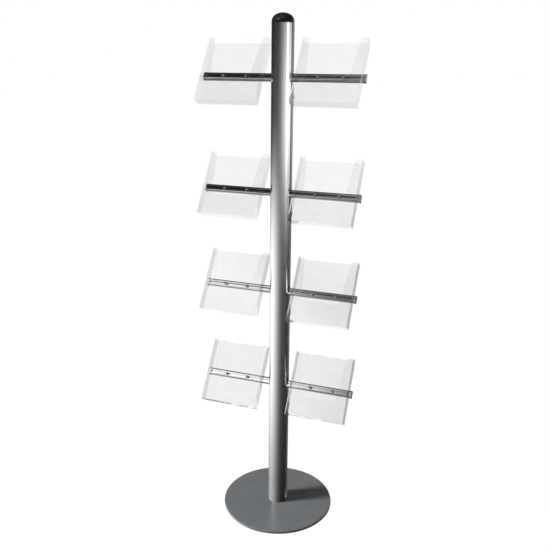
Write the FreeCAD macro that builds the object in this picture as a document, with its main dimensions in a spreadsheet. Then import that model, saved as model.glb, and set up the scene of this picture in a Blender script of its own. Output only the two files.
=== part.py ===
import FreeCAD, Part
import math
import os

import Sketcher

# A free-standing brochure rack: a round column on a heavy disc foot, with a shallow flute
# and an undercut slot down each side. Arms are clamped in the slots in four levels, and
# each arm carries one clear pocket that leans back. Millimetres, +Z up, the readers stand
# on the -Y side, and the origin is on the floor in the column's axis.

Vector = FreeCAD.Vector
doc = FreeCAD.newDocument("brochure_rack")

# ---- driving dimensions --------------------------------------------------------------

SIZES = {
    "plate_radius": 212, "plate_top": 12, "plate_round": 4,
    "pad_height": 2, "pad_radius": 13, "pad_circle": 186, "pad_count": 6,
    "bolt_radius": 6, "bolt_head_radius": 12, "bolt_head_height": 6, "bolt_length": 34,
    "bolt_gap": 0.3, "bolt_sink": 0.2, "thread_gap": 0.05, "overrun": 1,
    "tube_radius": 37.5, "tube_wall": 3, "tube_top": 1798,
    "flute_half": 14, "flute_floor": 31.5,
    "slot_half": 6, "slot_lip": 3, "channel_half": 10, "channel_depth": 7, "channel_wall": 2.5,
    "plug_height": 30, "plug_gap": 0.1,
    "cap_height": 32, "cap_corner": 26, "cap_crown": 50, "cap_wall": 3,
    "spigot_height": 24, "spigot_wall": 2.5, "spigot_gap": 0.25,
    "level_1": 1626, "level_2": 1241, "level_3": 884, "level_4": 517,
    "lean": 34.5,
    "arm_start": 35.3, "arm_end": 278.3, "arm_height": 27, "arm_back": 5, "arm_front": 11,
    "arm_round": 5, "groove_half": 3.5, "groove_lip": 3, "groove_depth": 6.5,
    "groove_half_inside": 6, "arm_bore": 3.05,
    "nut_gap": 0.3, "nut_height": 30, "neck_height": 18, "neck_end": 35,
    "rod_radius": 3, "rod_start": 23, "rod_end": 281.5, "rod_nut_radius": 5.5, "rod_nut_width": 3,
    "tip_end": 284.4, "tip_oversize": 1, "tip_recess": 3.6, "tip_recess_radius": 6,
    "tip_corner": 6.5, "tip_round": 2,
    "sheet": 3, "pocket_start": 58, "pocket_width": 220, "pocket_depth": 37,
    "pocket_top": 124.3, "pocket_bottom": 114.3, "fold_outer": 3.6, "fold_inner": 0.6,
    "strip_top": 24, "strip_low": 39, "notch_floor": 37, "notch_round": 12, "strip_round": 8,
    "hole_radius": 2.5, "hole_half_pitch": 55, "hole_height": 105, "drain_depth": 18,
    "fixing_half_pitch": 42, "fixing_head_radius": 5, "fixing_head": 2.4, "fixing_shank": 2,
    "fixing_hole_gap": 0.3, "fixing_nut_half": 5.7, "fixing_nut": 3, "fixing_nut_length": 12,
    "fixing_nut_gap": 0.1,
}

sheet = doc.addObject("Spreadsheet::Sheet", "Sizes")
for row, (name, value) in enumerate(SIZES.items(), start=1):
    sheet.set("A%d" % row, name)
    sheet.set("B%d" % row, str(value))
    sheet.setAlias("B%d" % row, name)
doc.recompute()

SIDES = {"right": 1, "left": -1}
LEVELS = (1, 2, 3, 4)
parts = []


def size(name):
    return float(sheet.get(name))


def cells(expression):
    """Turn a formula of cell names into one that FreeCAD reads from the sheet."""
    words = []
    word = ""
    for letter in str(expression) + " ":
        if letter.isalnum() or letter == "_":
            word += letter
            continue
        words.append("Sizes." + word if word in SIZES else word)
        words.append(letter)
        word = ""
    return "".join(words).strip()


def bind(thing, **formulas):
    """Bind properties to the sheet: dots in a property path are written as two underscores."""
    for path, formula in formulas.items():
        thing.setExpression(path.replace("__", "."), cells(formula))


# ---- plain solids bound to the sheet -------------------------------------------------

def box(name, low, lengths):
    solid = doc.addObject("Part::Box", name)
    bind(solid, Length=lengths[0], Width=lengths[1], Height=lengths[2])
    bind(solid, Placement__Base__x=low[0], Placement__Base__y=low[1], Placement__Base__z=low[2])
    return solid


def cylinder(name, start, radius, length, axis="z"):
    """A cylinder from start along +x, -y or +z."""
    solid = doc.addObject("Part::Cylinder", name)
    turns = {"x": (Vector(0, 1, 0), 90), "-y": (Vector(1, 0, 0), 90), "z": (Vector(0, 0, 1), 0)}
    solid.Placement = FreeCAD.Placement(Vector(), FreeCAD.Rotation(*turns[axis]))
    bind(solid, Radius=radius, Height=length)
    bind(solid, Placement__Base__x=start[0], Placement__Base__y=start[1], Placement__Base__z=start[2])
    return solid


def cut(name, base, tools):
    result = doc.addObject("Part::Cut", name)
    result.Base = base
    result.Tool = tools[0] if len(tools) == 1 else join(name + "_tools", tools)
    return result


def join(name, solids):
    result = doc.addObject("Part::MultiFuse", name)
    result.Shapes = solids
    return result


def common(name, first, second):
    result = doc.addObject("Part::Common", name)
    result.Base = first
    result.Tool = second
    return result


def group(name, solids):
    """Separate solids that share one node."""
    result = doc.addObject("Part::Compound", name)
    result.Links = solids
    return result


def rounded(name, base, radius, wanted):
    """Fillet the edges of base for which wanted(edge) is true."""
    doc.recompute()
    result = doc.addObject("Part::Fillet", name)
    result.Base = base
    numbers = [i for i, edge in enumerate(base.Shape.Edges, start=1)
               if not edge.Degenerated and wanted(edge)]
    result.Edges = [(number, size(radius), size(radius)) for number in numbers]
    return result


def along(edge, axis):
    """True for a straight edge that runs along the given axis (0, 1 or 2)."""
    if edge.Curve.TypeId != "Part::GeomLine":
        return False
    return abs(abs(edge.Curve.Direction[axis]) - 1) < 1e-6


def add_part(solid, name):
    solid.Label = name
    parts.append(solid)
    return solid


# ---- sketches ------------------------------------------------------------------------

def plane(body, role):
    return next(feature for feature in body.Origin.OriginFeatures if feature.Role == role)


def new_sketch(body, name, role, lift=None):
    sketch = body.newObject("Sketcher::SketchObject", name)
    sketch.AttachmentSupport = (plane(body, role), [""])
    sketch.MapMode = "FlatFace"
    if lift is not None:
        bind(sketch, AttachmentOffset__Base__z=lift)
    return sketch


def fix_point(sketch, geometry, point, across, up):
    """Hold a sketch point at two formulas measured from the sketch's origin."""
    for kind, formula, axis in (("DistanceX", across, -2), ("DistanceY", up, -1)):
        if str(formula) == "0":
            sketch.addConstraint(Sketcher.Constraint("PointOnObject", geometry, point, axis))
            continue
        value = value_of(formula)
        number = sketch.addConstraint(Sketcher.Constraint(kind, -1, 1, geometry, point, value))
        sketch.setExpression("Constraints[%d]" % number, cells(formula))


def value_of(formula):
    """The present value of a formula of cell names, worked out by the sheet itself."""
    sheet.set("D1", "=" + str(formula))
    sheet.recompute()
    return float(sheet.get("D1"))


def polygon(body, name, role, corners, lift=None):
    sketch = new_sketch(body, name, role, lift)
    points = [Vector(value_of(x), value_of(y), 0) for x, y in corners]
    count = len(points)
    for i in range(count):
        sketch.addGeometry(Part.LineSegment(points[i], points[(i + 1) % count]), False)
    for i in range(count):
        sketch.addConstraint(Sketcher.Constraint("Coincident", i, 2, (i + 1) % count, 1))
    for i, (across, up) in enumerate(corners):
        fix_point(sketch, i, 1, across, up)
    return sketch


def circle(body, name, role, radius, lift=None):
    sketch = new_sketch(body, name, role, lift)
    sketch.addGeometry(Part.Circle(Vector(), Vector(0, 0, 1), value_of(radius)), False)
    sketch.addConstraint(Sketcher.Constraint("Coincident", 0, 3, -1, 1))
    number = sketch.addConstraint(Sketcher.Constraint("Radius", 0, value_of(radius)))
    sketch.setExpression("Constraints[%d]" % number, cells(radius))
    return sketch


def feature(body, kind, name, sketch, **formulas):
    result = body.newObject("PartDesign::" + kind, name)
    result.Profile = sketch
    bind(result, **formulas)
    body.Tip = result
    return result


# ---- the foot ------------------------------------------------------------------------

def base_plate():
    body = doc.addObject("PartDesign::Body", "base_plate")
    section = polygon(body, "plate_section", "XZ_Plane", [
        ("bolt_radius + bolt_gap", "pad_height"), ("plate_radius", "pad_height"),
        ("plate_radius", "plate_top"), ("bolt_radius + bolt_gap", "plate_top")])
    disc = body.newObject("PartDesign::Revolution", "disc")
    disc.Profile = section
    disc.ReferenceAxis = (section, ["V_Axis"])
    disc.Angle = 360
    body.Tip = disc
    doc.recompute()

    def rim(z):
        for i, edge in enumerate(disc.Shape.Edges, start=1):
            outermost = abs(edge.BoundBox.XMax - size("plate_radius")) < 1e-3
            if outermost and abs(edge.CenterOfMass.z - z) < 1e-6:
                return "Edge%d" % i

    soft = body.newObject("PartDesign::Fillet", "soft_rim")
    soft.Base = (disc, [rim(size("plate_top"))])
    bind(soft, Radius="plate_round")
    body.Tip = soft
    sink = polygon(body, "countersink_section", "XZ_Plane", [
        ("0", "pad_height"), ("bolt_head_radius + bolt_gap", "pad_height"),
        ("bolt_radius + bolt_gap", "pad_height + bolt_head_height"),
        ("0", "pad_height + bolt_head_height")])
    countersink = body.newObject("PartDesign::Groove", "countersink")
    countersink.Profile = sink
    countersink.ReferenceAxis = (sink, ["V_Axis"])
    countersink.Angle = 360
    body.Tip = countersink
    return add_part(body, "base_plate")


def base_pads():
    count = int(size("pad_count"))
    pads = []
    for i in range(count):
        turn = "%d deg" % (i * 360 // count)
        centre = ("pad_circle * cos(%s)" % turn, "pad_circle * sin(%s)" % turn, "0")
        pads.append(cylinder("pad_%d" % (i + 1), centre, "pad_radius", "pad_height"))
    return add_part(group("base_pads", pads), "base_pads")


def base_bolt():
    body = doc.addObject("PartDesign::Body", "base_bolt")
    section = polygon(body, "bolt_section", "XZ_Plane", [
        ("0", "pad_height + bolt_sink"), ("bolt_head_radius", "pad_height + bolt_sink"),
        ("bolt_radius", "pad_height + bolt_head_height"),
        ("bolt_radius", "bolt_length"), ("0", "bolt_length")])
    turned = body.newObject("PartDesign::Revolution", "turned")
    turned.Profile = section
    turned.ReferenceAxis = (section, ["V_Axis"])
    turned.Angle = 360
    body.Tip = turned
    return add_part(body, "base_bolt")


# ---- the column ----------------------------------------------------------------------

def column_tube():
    body = doc.addObject("PartDesign::Body", "column_tube")
    round_bar = circle(body, "outside", "XY_Plane", "tube_radius", "plate_top")
    feature(body, "Pad", "bar", round_bar, Length="tube_top - plate_top")
    for side, sign in SIDES.items():
        slot = polygon(body, "slot_" + side, "XY_Plane", slot_outline(sign), "plate_top")
        pocket = feature(body, "Pocket", "slot_cut_" + side, slot, Length="tube_top - plate_top")
        pocket.Reversed = True
    hollow = hollow_sketch(body)
    pocket = feature(body, "Pocket", "hollow_cut", hollow, Length="tube_top - plate_top")
    pocket.Reversed = True
    return add_part(body, "column_tube")


def slot_outline(sign):
    """A shallow flute with a T-shaped slot in its floor, where the clamping blocks run."""
    mark = "" if sign > 0 else "-"
    mouth = mark + "(tube_radius + overrun)"
    floor = mark + "flute_floor"
    lip = mark + "(flute_floor - slot_lip)"
    back = mark + "(flute_floor - slot_lip - channel_depth)"
    upper = [(mouth, "flute_half"), (floor, "flute_half"), (floor, "slot_half"), (lip, "slot_half"),
             (lip, "channel_half"), (back, "channel_half")]
    return upper + [(x, "-" + y) for x, y in reversed(upper)]


def hollow_sketch(body):
    """The tube's inside: a round bore with a stepped block left around each slot."""
    sketch = new_sketch(body, "hollow", "XY_Plane", "plate_top")
    bore = "tube_radius - tube_wall"
    radius = value_of(bore)
    inner = (value_of("flute_floor - slot_lip - channel_depth - channel_wall"),
             value_of("channel_half + channel_wall"))
    outer = (value_of("flute_floor - channel_wall"), value_of("flute_half + channel_wall"))
    rim = (math.sqrt(radius ** 2 - outer[1] ** 2), outer[1])
    steps = [inner, (outer[0], inner[1]), outer, rim]
    right = [Vector(x, -y, 0) for x, y in reversed(steps)] + [Vector(x, y, 0) for x, y in steps]
    for chain in (right, [Vector(-point.x, -point.y, 0) for point in right]):
        for first, last in zip(chain, chain[1:]):
            sketch.addGeometry(Part.LineSegment(first, last), False)
    for side in (1, -1):
        ends = [Vector(x, side * rim[1], 0) for x in (rim[0], -rim[0])]
        sketch.addGeometry(Part.Arc(ends[0], Vector(0, side * radius, 0), ends[1]), False)
    return sketch


def inner_block(name, start, length, gap):
    """A block that fills the tube's bore between the two slots."""
    bar = cylinder(name + "_round", ("0", "0", start), "tube_radius - tube_wall - " + gap, length)
    half = "(flute_floor - slot_lip - channel_depth - channel_wall - %s)" % gap
    slab = box(name + "_slab", ("-" + half, "-tube_radius", start),
               ("2 * " + half, "2 * tube_radius", length))
    return common(name + "_block", bar, slab)


def foot_plug():
    block = inner_block("plug", "plate_top", "plug_height", "plug_gap")
    thread = cylinder("plug_thread", ("0", "0", "plate_top - overrun"), "bolt_radius + thread_gap",
                      "plug_height + 2 * overrun")
    return add_part(cut("foot_plug", block, [thread]), "foot_plug")


def top_cap():
    """A domed cap with a hollow spigot: a straight band, a round corner and a shallow crown."""
    band = cylinder("cap_band_solid", ("0", "0", "tube_top"), "tube_radius", "cap_height")
    crown = doc.addObject("Part::Sphere", "cap_crown_solid")
    bind(crown, Radius="cap_crown", Placement__Base__z="tube_top + cap_height - cap_crown")
    dome = rounded("cap_dome", common("cap_blank", band, crown), "cap_corner",
                   lambda edge: edge.BoundBox.ZMin > size("tube_top") + size("overrun"))
    spigot = inner_block("spigot", "tube_top - spigot_height", "spigot_height + overrun", "spigot_gap")
    joined = join("cap_solid", [dome, spigot])
    inside = cylinder("cap_inside", ("0", "0", "tube_top - spigot_height - overrun"),
                      "flute_floor - slot_lip - channel_depth - channel_wall - spigot_wall",
                      "spigot_height + cap_wall + overrun")
    return add_part(cut("top_cap", joined, [inside]), "top_cap")


# ---- one arm and its pocket ----------------------------------------------------------
# Each piece is drawn upright, with the tie rod's axis on the X axis, and then leans back
# by turning about that axis. Across the arm, y = -n, where n is the distance in front.

def low_x(side, start, length):
    """The lower end of a stretch that lies start to start + length out from the column."""
    return start if SIDES[side] > 0 else "-(%s + %s)" % (start, length)


def lean_back(solid, level):
    solid.Placement = FreeCAD.Placement(Vector(), FreeCAD.Rotation(Vector(-1, 0, 0), size("lean")))
    bind(solid, Placement__Rotation__Angle="lean", Placement__Base__z="level_%d" % level)
    return solid


def raise_to(solid, level):
    bind(solid, Placement__Base__z="level_%d" % level)
    return solid


def slide_nut(side, level, tag):
    """The block that runs in the column's slot, with a neck that comes out through the lips."""
    block_x = low_x(side, "(flute_floor - slot_lip - channel_depth + nut_gap)",
                    "(channel_depth - 2 * nut_gap)")
    block = box("nut_block" + tag, (block_x, "-(channel_half - nut_gap)", "-nut_height / 2"),
                ("channel_depth - 2 * nut_gap", "2 * (channel_half - nut_gap)", "nut_height"))
    neck_start = "(flute_floor - slot_lip - 2 * nut_gap)"
    neck_length = "(neck_end - flute_floor + slot_lip + 2 * nut_gap)"
    neck = box("nut_neck" + tag, (low_x(side, neck_start, neck_length), "-(slot_half - nut_gap)",
                                  "-neck_height / 2"),
               (neck_length, "2 * (slot_half - nut_gap)", "neck_height"))
    thread_start = "(flute_floor - slot_lip - channel_depth)"
    thread_length = "(neck_end + overrun - flute_floor + slot_lip + channel_depth)"
    thread = cylinder("nut_thread" + tag, (low_x(side, thread_start, thread_length), "0", "0"),
                      "rod_radius + thread_gap", thread_length, "x")
    body = cut("slide_nut" + tag, join("nut_solid" + tag, [block, neck]), [thread])
    return add_part(raise_to(body, level), "slide_nut" + tag)


def tie_rod(side, level, tag):
    """The long stud that pulls the arm against the column, with a hexagon nut at its end."""
    length = "(rod_end - rod_start)"
    stud = cylinder("stud" + tag, (low_x(side, "rod_start", length), "0", "0"),
                    "rod_radius", length, "x")
    hexagon = doc.addObject("Part::Prism", "hexagon" + tag)
    hexagon.Polygon = 6
    hexagon.Placement = FreeCAD.Placement(Vector(), FreeCAD.Rotation(Vector(0, 1, 0), 90))
    bind(hexagon, Circumradius="rod_nut_radius", Height="rod_nut_width",
         Placement__Base__x=low_x(side, "(rod_end - rod_nut_width)", "rod_nut_width"))
    return add_part(raise_to(join("tie_rod" + tag, [stud, hexagon]), level), "tie_rod" + tag)


def arm(side, level, tag):
    """A rounded bar with a bore for the tie rod and an undercut groove along its front."""
    length = "(arm_end - arm_start)"
    x = low_x(side, "arm_start", length)
    bar = box("arm_bar" + tag, (x, "-arm_front", "-arm_height / 2"),
              (length, "arm_front + arm_back", "arm_height"))
    soft = rounded("arm_soft" + tag, bar, "arm_round", lambda edge: along(edge, 0))
    mouth = box("arm_mouth" + tag, (x, "-arm_front - overrun", "-groove_half"),
                (length, "groove_lip + 2 * overrun", "2 * groove_half"))
    undercut = box("arm_undercut" + tag, (x, "-arm_front + groove_lip", "-groove_half_inside"),
                   (length, "groove_depth - groove_lip", "2 * groove_half_inside"))
    bore = cylinder("arm_bore" + tag, (x, "0", "0"), "arm_bore", length, "x")
    return add_part(lean_back(cut("arm" + tag, soft, [mouth, undercut, bore]), level), "arm" + tag)


def arm_tip(side, level, tag):
    """The domed cap that closes the arm's end and hides the tie rod's nut."""
    length = "(tip_end - arm_end)"
    low = (low_x(side, "arm_end", length), "-arm_front - tip_oversize", "-arm_height / 2 - tip_oversize")
    block = box("tip_block" + tag, low, (length, "arm_front + arm_back + 2 * tip_oversize",
                                         "arm_height + 2 * tip_oversize"))
    slim = rounded("tip_slim" + tag, block, "tip_corner", lambda edge: along(edge, 0))
    recess_x = low_x(side, "(arm_end - overrun)", "(tip_recess + overrun)")
    recess = cylinder("tip_recess" + tag, (recess_x, "0", "0"), "tip_recess_radius",
                      "tip_recess + overrun", "x")
    shell = cut("tip_shell" + tag, slim, [recess])
    outer = SIDES[side] * size("tip_end")
    dome = rounded("tip_dome" + tag, shell, "tip_round",
                   lambda edge: abs(edge.CenterOfMass.x - outer) < 1e-3)
    return add_part(lean_back(dome, level), "arm_tip" + tag)


def pocket_middle(side):
    middle = "(pocket_start + pocket_width / 2)"
    return middle if SIDES[side] > 0 else "-" + middle


def notch(side, tag):
    """The tool that opens the front: a wide mouth that narrows down to a rounded floor."""
    middle = value_of(pocket_middle(side))
    half_top = size("pocket_width") / 2 - size("strip_top")
    half_low = size("pocket_width") / 2 - size("strip_low")
    top, low = size("pocket_top"), -size("notch_floor")
    over = size("overrun")
    front = -size("arm_front") - size("pocket_depth") - over
    corner = size("strip_round")
    mouth = half_top + corner
    right = [(half_low, low), (half_top, top - corner), (mouth, top), (mouth, top + over)]
    left = [(-across, up) for across, up in reversed(right)]
    outline = [Vector(middle + across, front, up) for across, up in left + right]
    flat = Part.Face(Part.makePolygon(outline + outline[:1]))
    solid = flat.extrude(Vector(0, size("sheet") + 2 * over, 0))
    for height, radius in ((low, size("notch_round")), (top - corner, corner)):
        bends = [edge for edge in solid.Edges
                 if along(edge, 1) and abs(edge.CenterOfMass.z - height) < 1e-6]
        solid = solid.makeFillet(radius, bends)
    tool = doc.addObject("Part::Feature", "notch" + tag)
    tool.Shape = solid
    return tool


def pocket(side, level, tag):
    """A folded clear sheet: back, two sides, floor and a front with a deep notch."""
    x = low_x(side, "pocket_start", "pocket_width")
    outer = box("pocket_outer" + tag, (x, "-arm_front - pocket_depth", "-pocket_bottom"),
                ("pocket_width", "pocket_depth", "pocket_top + pocket_bottom"))
    folded = rounded("pocket_folded" + tag, outer, "fold_outer", fold_edge)
    inner = box("pocket_inner" + tag,
                ("%s + sheet" % x, "-arm_front - pocket_depth + sheet", "-pocket_bottom + sheet"),
                ("pocket_width - 2 * sheet", "pocket_depth - 2 * sheet", "pocket_top + pocket_bottom"))
    hollow = rounded("pocket_hollow" + tag, inner, "fold_inner", fold_edge)
    middle = pocket_middle(side)
    holes = []
    for hand, mark in (("a", "-"), ("b", "+")):
        wide = "%s %s hole_half_pitch" % (middle, mark)
        near = "%s %s fixing_half_pitch" % (middle, mark)
        holes.append(cylinder("hang_hole_%s%s" % (hand, tag), (wide, "-arm_front + overrun", "hole_height"),
                              "hole_radius", "sheet + 2 * overrun", "-y"))
        holes.append(cylinder("drain_hole_%s%s" % (hand, tag),
                              (wide, "-arm_front - drain_depth", "-pocket_bottom - overrun"),
                              "hole_radius", "sheet + 2 * overrun"))
        holes.append(cylinder("fixing_hole_%s%s" % (hand, tag), (near, "-arm_front + overrun", "0"),
                              "fixing_shank + fixing_hole_gap", "sheet + 2 * overrun", "-y"))
    tools = [hollow, notch(side, tag)] + holes
    return add_part(lean_back(cut("pocket" + tag, folded, tools), level), "pocket" + tag)


def fold_edge(edge):
    """The folds of the sheet: the four upright corners and the front and back of the floor."""
    highest = size("overrun") + size("sheet") - size("pocket_bottom")
    return along(edge, 2) or (along(edge, 0) and edge.CenterOfMass.z < highest)


def pocket_fixings(side, level, tag):
    """Two low-headed screws through the pocket's back, each with a nut in the arm's groove."""
    middle = pocket_middle(side)
    solids = []
    for hand, mark in (("a", "-"), ("b", "+")):
        x = "%s %s fixing_half_pitch" % (middle, mark)
        head = cylinder("fixing_head_%s%s" % (hand, tag), (x, "-arm_front - sheet", "0"),
                        "fixing_head_radius", "fixing_head", "-y")
        shank = cylinder("fixing_shank_%s%s" % (hand, tag),
                         (x, "-arm_front + groove_depth - fixing_hole_gap", "0"),
                         "fixing_shank", "groove_depth + sheet", "-y")
        screw = join("fixing_screw_%s%s" % (hand, tag), [head, shank])
        block = box("fixing_block_%s%s" % (hand, tag),
                    ("%s - fixing_nut_length / 2" % x, "-arm_front + groove_lip + fixing_nut_gap",
                     "-fixing_nut_half"),
                    ("fixing_nut_length", "fixing_nut", "2 * fixing_nut_half"))
        hole = cylinder("fixing_thread_%s%s" % (hand, tag),
                        (x, "-arm_front + groove_depth + overrun", "0"),
                        "fixing_shank + thread_gap", "groove_depth", "-y")
        solids += [screw, cut("fixing_nut_%s%s" % (hand, tag), block, [hole])]
    return add_part(lean_back(group("pocket_fixings" + tag, solids), level), "pocket_fixings" + tag)


# ---- the whole rack ------------------------------------------------------------------

def build():
    base_plate()
    base_pads()
    base_bolt()
    column_tube()
    foot_plug()
    top_cap()
    for level in LEVELS:
        for side in SIDES:
            tag = "_%d_%s" % (level, side)
            for make in (slide_nut, tie_rod, arm, arm_tip, pocket, pocket_fixings):
                make(side, level, tag)
    doc.recompute()


def check():
    for thing in doc.Objects:
        for state in ("Invalid", "Error"):
            if state in thing.State:
                raise RuntimeError("%s is %s" % (thing.Label, state))
    for part in parts:
        if part.Shape.isNull() or not part.Shape.isValid():
            raise RuntimeError("%s has no valid shape" % part.Label)


def export():
    os.makedirs("parts", exist_ok=True)
    for part in parts:
        part.Shape.exportStep("parts/%s.step" % part.Label)
        print("%-24s %10.1f mm3, %d solids" % (part.Label, part.Shape.Volume, len(part.Shape.Solids)))


build()
check()
export()
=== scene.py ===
import math
import bmesh
import bpy
from mathutils import Matrix, Vector


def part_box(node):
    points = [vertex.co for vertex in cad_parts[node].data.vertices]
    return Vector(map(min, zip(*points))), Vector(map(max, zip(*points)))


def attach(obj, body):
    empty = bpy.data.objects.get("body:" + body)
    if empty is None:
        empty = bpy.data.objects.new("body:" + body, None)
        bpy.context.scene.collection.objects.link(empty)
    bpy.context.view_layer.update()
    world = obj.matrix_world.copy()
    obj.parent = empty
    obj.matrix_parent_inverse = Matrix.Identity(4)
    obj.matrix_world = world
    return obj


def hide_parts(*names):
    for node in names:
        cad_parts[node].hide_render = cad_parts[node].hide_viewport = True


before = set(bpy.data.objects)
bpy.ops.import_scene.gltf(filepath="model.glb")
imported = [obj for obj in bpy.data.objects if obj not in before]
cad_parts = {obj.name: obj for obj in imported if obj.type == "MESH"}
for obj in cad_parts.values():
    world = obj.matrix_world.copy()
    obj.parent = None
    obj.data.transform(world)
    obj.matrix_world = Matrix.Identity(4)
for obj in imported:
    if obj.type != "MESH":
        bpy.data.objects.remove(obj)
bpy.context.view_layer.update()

SIDES = ("right", "left")
LEVELS = (1, 2, 3, 4)

# ---- camera: metres, degrees, and millimetres for the lens and sensor -----------------

EYE = Vector((0.7764, -2.2047, 1.6695))
HEADING, PITCH, ROLL = 19.86, 17.24, 0.52
LENS, SENSOR = 44.42, 36


def make_camera():
    data = bpy.data.cameras.new("camera")
    data.lens = LENS
    data.sensor_width = SENSOR
    camera = bpy.data.objects.new("camera", data)
    bpy.context.scene.collection.objects.link(camera)
    turn = (Matrix.Rotation(math.radians(HEADING), 4, "Z")
            @ Matrix.Rotation(math.radians(90 - PITCH), 4, "X")
            @ Matrix.Rotation(math.radians(ROLL), 4, "Z"))
    camera.matrix_world = Matrix.Translation(EYE) @ turn
    bpy.context.scene.camera = camera


# ---- shader helpers -------------------------------------------------------------------

class Graph:
    """Short names for building shader maths in one node tree."""

    def __init__(self, tree):
        self.nodes, self.links = tree.nodes, tree.links

    def add(self, kind, **settings):
        node = self.nodes.new(kind)
        for key, value in settings.items():
            setattr(node, key, value)
        return node

    def put(self, socket, value):
        if hasattr(value, "is_output"):
            self.links.new(value, socket)
        else:
            socket.default_value = value

    def math(self, operation, first, second=0.0):
        node = self.add("ShaderNodeMath", operation=operation)
        self.put(node.inputs[0], first)
        self.put(node.inputs[1], second)
        return node.outputs[0]

    def dot(self, vector, axis):
        node = self.add("ShaderNodeVectorMath", operation="DOT_PRODUCT")
        self.put(node.inputs[0], vector)
        node.inputs[1].default_value = axis
        return node.outputs["Value"]

    def straight_sight(self):
        """1 on a ray from the camera that has only passed through clear things, otherwise 0."""
        path = self.add("ShaderNodeLightPath")
        turns = self.math("ADD", path.outputs["Diffuse Depth"], path.outputs["Glossy Depth"])
        return self.math("LESS_THAN", turns, 0.5)

    def out_of_clear(self):
        """1 on a ray that has just left something clear, otherwise 0."""
        return self.add("ShaderNodeLightPath").outputs["Is Transmission Ray"]

    def ramp(self, value, low, high, start=0.0, end=1.0):
        node = self.add("ShaderNodeMapRange", interpolation_type="SMOOTHSTEP")
        self.put(node.inputs["Value"], value)
        node.inputs["From Min"].default_value = low
        node.inputs["From Max"].default_value = high
        node.inputs["To Min"].default_value = start
        node.inputs["To Max"].default_value = end
        return node.outputs["Result"]

    def noise(self, scale, detail=3.0):
        """Noise in the object's own metres; scale is how many grains a metre along x, y and z."""
        place = self.add("ShaderNodeTexCoord").outputs["Object"]
        mapping = self.add("ShaderNodeMapping")
        self.put(mapping.inputs["Vector"], place)
        mapping.inputs["Scale"].default_value = scale
        node = self.add("ShaderNodeTexNoise")
        self.put(node.inputs["Vector"], mapping.outputs["Vector"])
        node.inputs["Scale"].default_value = 1
        node.inputs["Detail"].default_value = detail
        return node.outputs["Fac"]

    def tint(self, factor, first, second):
        node = self.add("ShaderNodeMix", data_type="RGBA")
        self.put(node.inputs["Factor"], factor)
        node.inputs[6].default_value = (*first, 1)
        node.inputs[7].default_value = (*second, 1)
        return node.outputs[2]

    def bump(self, height, distance, strength=1.0):
        node = self.add("ShaderNodeBump")
        self.put(node.inputs["Height"], height)
        node.inputs["Distance"].default_value = distance
        node.inputs["Strength"].default_value = strength
        return node.outputs["Normal"]


# ---- light and floor ------------------------------------------------------------------
# The camera sees plain white. What shiny things mirror is drawn by room_light, and a ray
# that has just left something clear gets INSIDE_SHARE of INSIDE_LIGHT in its place. The
# floor seen through something clear is darker by FLOOR_DIP at FLOOR_NEAR metres from the
# column, and by nothing at FLOOR_FAR.

INSIDE_SHARE, INSIDE_LIGHT = 0.9, 0.9
FLOOR_DIP, FLOOR_NEAR, FLOOR_FAR = 0.17, 0.5, 6.0
FLOOR_REACH, FLOOR_GREY = 30, 0.02


def softbox(name, place, target, width, height, power):
    """An area light aimed at target, itself unseen: the camera, clear things and mirrors miss it."""
    data = bpy.data.lights.new(name, "AREA")
    data.shape = "RECTANGLE"
    data.size = width
    data.size_y = height
    data.energy = power
    light = bpy.data.objects.new(name, data)
    bpy.context.scene.collection.objects.link(light)
    place = Vector(place)
    light.location = place
    light.rotation_euler = (Vector(target) - place).to_track_quat("-Z", "Y").to_euler()
    light.visible_camera = False
    light.visible_transmission = False
    light.visible_glossy = False
    return light


def light_only(light, name):
    """Keep a light to one CAD node."""
    receivers = bpy.data.collections.new(light.name + "_receivers")
    receivers.objects.link(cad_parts[name])
    light.light_linking.receiver_collection = receivers


def level_axis(bearing):
    """A level unit vector, bearing degrees anticlockwise from +X as seen from above."""
    return (math.cos(math.radians(bearing)), math.sin(math.radians(bearing)), 0)


def total_of(g, values):
    total = values[0]
    for value in values[1:]:
        total = g.math("ADD", total, value)
    return total


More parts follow.
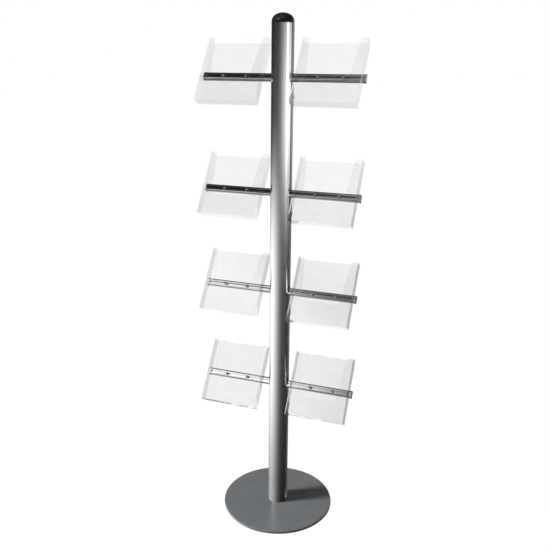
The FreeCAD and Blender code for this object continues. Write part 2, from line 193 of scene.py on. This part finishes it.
def room_light(g):
    """The dark studio that shiny surfaces mirror: broad glows left and right, and a few panels.
    rise is a direction's height, from -1 straight down to 1 straight up. Rays that have been
    through something clear lose the strip, have a dimmer glow on the right and gain one on the
    left, so that the pockets seen from the side are neither black nor burnt out."""
    way = g.add("ShaderNodeTexCoord").outputs["Generated"]
    rise = g.dot(way, (0, 0, 1))

    def between(low, low_full, high_full, high, floor=0.0):
        """1 where rise is between the two full values, and floor or 0 beyond low and high."""
        lower = g.ramp(rise, low, low_full, floor, 1)
        return g.math("MULTIPLY", lower, g.ramp(rise, high_full, high, 1, 0))

    def glow(bearing, power, strength, gate):
        """A vertical band of light centred on a bearing, narrower for a higher power."""
        near = g.math("MULTIPLY", g.math("ADD", g.dot(way, level_axis(bearing)), 1.0), 0.5)
        return g.math("MULTIPLY", g.math("MULTIPLY", g.math("POWER", near, power), strength), gate)

    def spot(axis, reach, core, strength, gate=1.0):
        """A round patch about an axis; reach and core are cosines of its outer and full angles."""
        near = g.ramp(g.dot(way, axis), reach, core, 0, strength)
        return g.math("MULTIPLY", near, gate)

    deep = g.math("GREATER_THAN", g.add("ShaderNodeLightPath").outputs["Transmission Depth"], 0.5)
    plain = g.math("SUBTRACT", 1.0, deep)
    dimmed = g.math("SUBTRACT", 1.0, g.math("MULTIPLY", deep, 0.4))
    right = g.math("MULTIPLY", glow(-8, 3.3, 1.3, between(-0.22, -0.10, -0.06, 0.15)), dimmed)
    behind = glow(75, 8, 0.6, between(-0.24, -0.08, 0.30, 0.50))
    left = glow(-170, 2.6, 1.35, between(-0.56, -0.45, -0.28, -0.10, 0.38))
    strip = g.math("MULTIPLY", glow(-17, 600, 6.0, between(-0.20, -0.12, 0.06, 0.16)), plain)
    beside = g.math("MULTIPLY", glow(180, 20, 0.7, between(-0.45, -0.30, 0.25, 0.40)), deep)
    front = spot((-0.45, -0.66, 0.60), 0.950, 0.990, 1.25, g.ramp(rise, 0.705, 0.745, 1, 0))
    overhead = spot((0.05, -0.45, 0.89), 0.90, 0.99, 0.35)
    ceiling = g.ramp(rise, 0.55, 0.75, 0, 0.045)
    upper_left = glow(-140, 14, 1.2, between(0.40, 0.48, 0.60, 0.68))
    low_back = spot((-0.37, 0.64, -0.67), 0.95, 0.985, 0.95, g.ramp(rise, -0.62, -0.58, 1, 0))
    return total_of(g, [right, behind, left, strip, front, overhead, ceiling, upper_left, low_back,
                        beside, 0.006])


def make_world():
    world = bpy.data.worlds.new("studio")
    bpy.context.scene.world = world
    world.use_nodes = True
    world.node_tree.nodes.clear()
    g = Graph(world.node_tree)
    inside = g.math("MULTIPLY", g.out_of_clear(), INSIDE_SHARE)
    outside = g.math("MULTIPLY", room_light(g), g.math("SUBTRACT", 1.0, inside))
    room = g.add("ShaderNodeBackground")
    g.put(room.inputs["Strength"], g.math("ADD", outside, g.math("MULTIPLY", inside, INSIDE_LIGHT)))
    seen = g.add("ShaderNodeBackground")
    for background in (room, seen):
        g.put(background.inputs["Color"], (1, 1, 1, 1))
    mix = g.add("ShaderNodeMixShader")
    g.put(mix.inputs[0], g.straight_sight())
    g.put(mix.inputs[1], room.outputs[0])
    g.put(mix.inputs[2], seen.outputs[0])
    out = g.add("ShaderNodeOutputWorld")
    g.put(out.inputs["Surface"], mix.outputs[0])


def make_floor():
    ends = (-FLOOR_REACH, FLOOR_REACH)
    corners = [(ends[0], ends[0], 0), (ends[1], ends[0], 0), (ends[1], ends[1], 0), (ends[0], ends[1], 0)]
    mesh = bpy.data.meshes.new("floor")
    mesh.from_pydata(corners, [], [(0, 1, 2, 3)])
    floor = bpy.data.objects.new("floor", mesh)
    bpy.context.scene.collection.objects.link(floor)
    material = bpy.data.materials.new("floor_white")
    material.use_nodes = True
    shader = material.node_tree.nodes["Principled BSDF"]
    shader.inputs["Base Color"].default_value = (FLOOR_GREY, FLOOR_GREY, FLOOR_GREY, 1)
    shader.inputs["Roughness"].default_value = 0.9
    shader.inputs["Specular IOR Level"].default_value = 0
    shader.inputs["Emission Color"].default_value = (1, 1, 1, 1)
    g = Graph(material.node_tree)
    away = g.add("ShaderNodeVectorMath", operation="LENGTH")
    g.put(away.inputs[0], g.add("ShaderNodeTexCoord").outputs["Object"])
    dip = g.math("MULTIPLY", g.out_of_clear(),
                 g.ramp(away.outputs["Value"], FLOOR_NEAR, FLOOR_FAR, FLOOR_DIP, 0))
    seen = g.math("MULTIPLY", g.straight_sight(), g.math("SUBTRACT", 1.0, dip))
    inside = g.math("MULTIPLY", g.out_of_clear(), INSIDE_LIGHT)
    bounced = g.math("MULTIPLY", inside, g.math("SUBTRACT", 1.0, g.straight_sight()))
    g.put(shader.inputs["Emission Strength"], g.math("ADD", seen, bounced))
    mesh.materials.append(material)
    floor.visible_glossy = False
    floor.visible_shadow = False


# ---- materials ------------------------------------------------------------------------

def new_material(name, metallic, **fixed):
    """A Principled material; fixed holds sockets that are the same all over, with _ for a space."""
    material = bpy.data.materials.new(name)
    material.use_nodes = True
    shader = material.node_tree.nodes["Principled BSDF"]
    shader.inputs["Metallic"].default_value = metallic
    for key, value in fixed.items():
        shader.inputs[key.replace("_", " ")].default_value = value
    return material, shader, Graph(material.node_tree)


def drawn_metal(name, dark, light, roughness, grain, fine, depth):
    """Extruded metal: long die lines, with slow changes of sheen along them.
    roughness is (lowest, highest), grain the noise of the lines and fine that of the finish."""
    material, shader, g = new_material(name, 1.0)
    lines = g.noise(grain, 4)
    finish = g.noise(fine, 2)
    worn = g.noise((9, 9, 5), 3)
    g.put(shader.inputs["Base Color"], g.tint(g.ramp(lines, 0.3, 0.7), dark, light))
    sheen = total_of(g, [g.math("MULTIPLY", lines, 0.4), g.math("MULTIPLY", finish, 0.3),
                         g.math("MULTIPLY", worn, 0.3)])
    g.put(shader.inputs["Roughness"], g.ramp(sheen, 0.35, 0.65, *roughness))
    g.put(shader.inputs["Normal"], g.bump(lines, depth))
    return material


def turned_metal(name, dark, light, roughness, grain, depth):
    """Small plated or polished pieces: a fine even grain and faint stains."""
    material, shader, g = new_material(name, 1.0)
    finish = g.noise((grain, grain, grain), 3)
    stain = g.noise((60, 60, 60), 4)
    g.put(shader.inputs["Base Color"], g.tint(g.ramp(stain, 0.3, 0.7), dark, light))
    g.put(shader.inputs["Roughness"], g.ramp(finish, 0.3, 0.7, *roughness))
    g.put(shader.inputs["Normal"], g.bump(finish, depth))
    return material


def powder_paint():
    """Satin slate powder coat on the foot: orange peel, a fine metallic fleck and light scuffs."""
    material, shader, g = new_material("foot_paint", 0.5, Coat_Weight=0.35, Coat_Roughness=0.16)
    peel = g.noise((420, 420, 420), 2)
    fleck = g.noise((2600, 2600, 2600), 1)
    scuff = g.noise((18, 18, 18), 5)
    worn = g.math("ADD", g.math("MULTIPLY", fleck, 0.75), g.math("MULTIPLY", scuff, 0.25))
    g.put(shader.inputs["Base Color"],
          g.tint(g.ramp(worn, 0.3, 0.7), (0.185, 0.199, 0.212), (0.262, 0.277, 0.29)))
    g.put(shader.inputs["Roughness"], g.ramp(scuff, 0.3, 0.7, 0.30, 0.38))
    g.put(shader.inputs["Normal"], g.bump(peel, 0.00002))
    return material


def moulded_plastic(name, dark, light, roughness, texture, depth, **fixed):
    """Moulded rubber or plastic: a fine grain and a faint haze."""
    material, shader, g = new_material(name, 0.0, **fixed)
    grain = g.noise((texture, texture, texture), 3)
    haze = g.noise((35, 35, 35), 4)
    g.put(shader.inputs["Base Color"], g.tint(g.ramp(haze, 0.3, 0.7), dark, light))
    g.put(shader.inputs["Roughness"], g.ramp(haze, 0.3, 0.7, *roughness))
    g.put(shader.inputs["Normal"], g.bump(grain, depth))
    return material


def clear_acrylic():
    """Folded clear sheet: very slightly grey, faintly wavy, with handling smears. The index is far
    below acrylic's, because a higher one drew dark jagged edges, and the gloss is a coat."""
    material, shader, g = new_material("clear_sheet", 0.0, Transmission_Weight=1.0, IOR=1.02,
                                       Coat_Weight=1.0, Coat_Roughness=0.02, Coat_IOR=1.46)
    smear = g.noise((26, 18, 40), 5)
    wave = g.noise((7, 7, 7), 1)
    g.put(shader.inputs["Base Color"],
          g.tint(g.ramp(smear, 0.3, 0.7), (0.945, 0.945, 0.945), (0.97, 0.97, 0.97)))
    g.put(shader.inputs["Roughness"], g.ramp(smear, 0.45, 0.75, 0.0, 0.05))
    waved = g.bump(wave, 0.0004)
    g.put(shader.inputs["Normal"], waved)
    g.put(shader.inputs["Coat Normal"], waved)
    return material


def dress(material, *starts):
    """Give the material to every CAD node whose name begins with one of the given words."""
    for name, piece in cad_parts.items():
        if name.startswith(starts):
            piece.data.materials.clear()
            piece.data.materials.append(material)


# ---- the screws that hold the pockets -------------------------------------------------
# Drawn on the arm's own axes: x along the arm, y behind its front and z up its face, from
# the axis that the arm leans about.

LEAN = 34.5
ARM_FRONT, SHEET = 0.011, 0.003
SOCKET = 0.0015
SOCKET_FLOOR, DOME_TOP = 0.0010, 0.0024
DOME = ((0.0022, 0.0024), (0.0033, 0.0021), (0.0042, 0.0016), (0.0048, 0.0009), (0.0050, 0.0003),
        (0.0050, 0.0))
SHANK_RADIUS, SHANK_END = 0.002, 0.0062
NUT_LENGTH, NUT_HALF, NUT_THICK, NUT_BACK = 0.012, 0.0057, 0.003, 0.0061
NUT_GAP, NUT_ROUND = 1.05, 0.0004
ROUND, SHARP = 24, 35


def ring(mesh, radius_at, depth, across):
    """A loop of points about the screw's axis at x = across; depth is measured to the front."""
    points = []
    for i in range(ROUND):
        turn = 2 * math.pi * i / ROUND
        radius = radius_at(turn)
        points.append(mesh.verts.new((across + radius * math.cos(turn), -depth, radius * math.sin(turn))))
    return points


def hexagon(turn):
    """The radius of a hexagonal socket at an angle about its axis."""
    sixth = math.pi / 3
    return SOCKET / math.cos((turn + sixth / 2) % sixth - sixth / 2)


def screw(mesh, across):
    """A button-head screw with a hexagonal socket, turned from one run of loops."""
    seat = ARM_FRONT + SHEET
    loops = [ring(mesh, hexagon, seat + height, across) for height in (SOCKET_FLOOR, DOME_TOP)]
    loops += [ring(mesh, lambda turn, r=radius: r, seat + height, across) for radius, height in DOME]
    shank = (seat, ARM_FRONT - SHANK_END)
    loops += [ring(mesh, lambda turn: SHANK_RADIUS, depth, across) for depth in shank]
    mesh.faces.new(loops[0])
    mesh.faces.new(loops[-1][::-1])
    for inner, outer in zip(loops, loops[1:]):
        for i in range(ROUND):
            j = (i + 1) % ROUND
            mesh.faces.new((inner[i], outer[i], outer[j], inner[j]))


def slot_nut(mesh, across):
    """A flat nut in the groove behind the screw, in two halves beside the screw's shank."""
    front, back = -(ARM_FRONT - NUT_BACK + NUT_THICK), -(ARM_FRONT - NUT_BACK)
    for hand in (-1, 1):
        near, far = across + hand * SHANK_RADIUS * NUT_GAP, across + hand * NUT_LENGTH / 2
        corners = [mesh.verts.new((x, y, z)) for x in (near, far) for y in (front, back)
                   for z in (-NUT_HALF, NUT_HALF)]
        made = bmesh.ops.convex_hull(mesh, input=corners)
        edges = [item for item in made["geom"] if isinstance(item, bmesh.types.BMEdge)]
        bmesh.ops.bevel(mesh, geom=edges, offset=NUT_ROUND, segments=2, affect="EDGES")


def pocket_screws(level, side, material):
    """The two screws and slot nuts of one pocket, in the place of its CAD fixings."""
    tag = "%d_%s" % (level, side)
    nut_low, nut_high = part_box("slide_nut_" + tag)
    low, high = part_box("pocket_fixings_" + tag)
    middle = (low[0] + high[0]) / 2
    half_pitch = (high[0] - low[0] - NUT_LENGTH) / 2
    mesh = bmesh.new()
    for across in (middle - half_pitch, middle + half_pitch):
        screw(mesh, across)
        slot_nut(mesh, across)
    bmesh.ops.recalc_face_normals(mesh, faces=mesh.faces)
    mesh.transform(Matrix.Translation((0, 0, (nut_low[2] + nut_high[2]) / 2))
                   @ Matrix.Rotation(math.radians(-LEAN), 4, "X"))
    name = "pocket_screws_" + tag
    data = bpy.data.meshes.new(name)
    mesh.to_mesh(data)
    mesh.free()
    data.shade_smooth()
    data.set_sharp_from_angle(angle=math.radians(SHARP))
    data.materials.append(material)
    piece = bpy.data.objects.new(name, data)
    bpy.context.scene.collection.objects.link(piece)
    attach(piece, "holder_" + tag)
    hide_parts("pocket_fixings_" + tag)


# ---- the scene ------------------------------------------------------------------------

make_camera()
make_world()
make_floor()
bpy.context.scene.view_settings.view_transform = "Standard"
softbox("key_left", (-6.0, -3.6, 5.2), (0, 0, 0.3), 1.4, 1.4, 1350)
# Under the floor, in the place of light thrown up by it. It lights only the base plate, from
# below, so what shows of it is the rim, and the rim has to mirror it.
rim = softbox("floor_bounce", (-0.97, -0.17, -0.51), (-0.12, -0.17, 0.005), 1.2, 0.8, 3.2)
rim.visible_glossy = True
light_only(rim, "base_plate")

dress(drawn_metal("column_satin", (0.88, 0.89, 0.90), (0.93, 0.94, 0.95), (0.17, 0.24),
                  (700, 700, 1.5), (900, 900, 60), 0.000006), "column_tube")
dress(drawn_metal("arm_satin", (0.66, 0.665, 0.67), (0.76, 0.765, 0.77), (0.05, 0.10),
                  (3, 900, 900), (120, 1200, 1200), 0.000005), "arm_1", "arm_2", "arm_3", "arm_4")
dress(turned_metal("tip_polished", (0.74, 0.76, 0.79), (0.82, 0.84, 0.87), (0.05, 0.14),
                   700, 0.000004), "arm_tip")
zinc = turned_metal("zinc_steel", (0.52, 0.52, 0.51), (0.72, 0.72, 0.70), (0.14, 0.3), 900, 0.00002)
dress(zinc, "base_bolt", "slide_nut", "tie_rod")
for level in LEVELS:
    for side in SIDES:
        pocket_screws(level, side, zinc)
dress(turned_metal("plug_cast", (0.45, 0.45, 0.46), (0.6, 0.6, 0.61), (0.35, 0.5),
                   300, 0.0001), "foot_plug")
dress(powder_paint(), "base_plate")
dress(moulded_plastic("pad_rubber", (0.012, 0.012, 0.012), (0.03, 0.03, 0.03), (0.6, 0.85),
                      900, 0.0001), "base_pads")
dress(moulded_plastic("cap_gloss", (0.006, 0.006, 0.006), (0.011, 0.011, 0.012), (0.05, 0.11),
                      500, 0.000006, IOR=1.55), "top_cap")
dress(clear_acrylic(), "pocket_1", "pocket_2", "pocket_3", "pocket_4")

# The column mirrors neither the foot plate nor the pockets, and the pockets cast no shadow.
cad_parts["base_plate"].visible_glossy = False
for name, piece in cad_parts.items():
    if name.startswith("pocket_") and not name.startswith("pocket_fixings"):
        piece.visible_glossy = False
        piece.visible_shadow = False
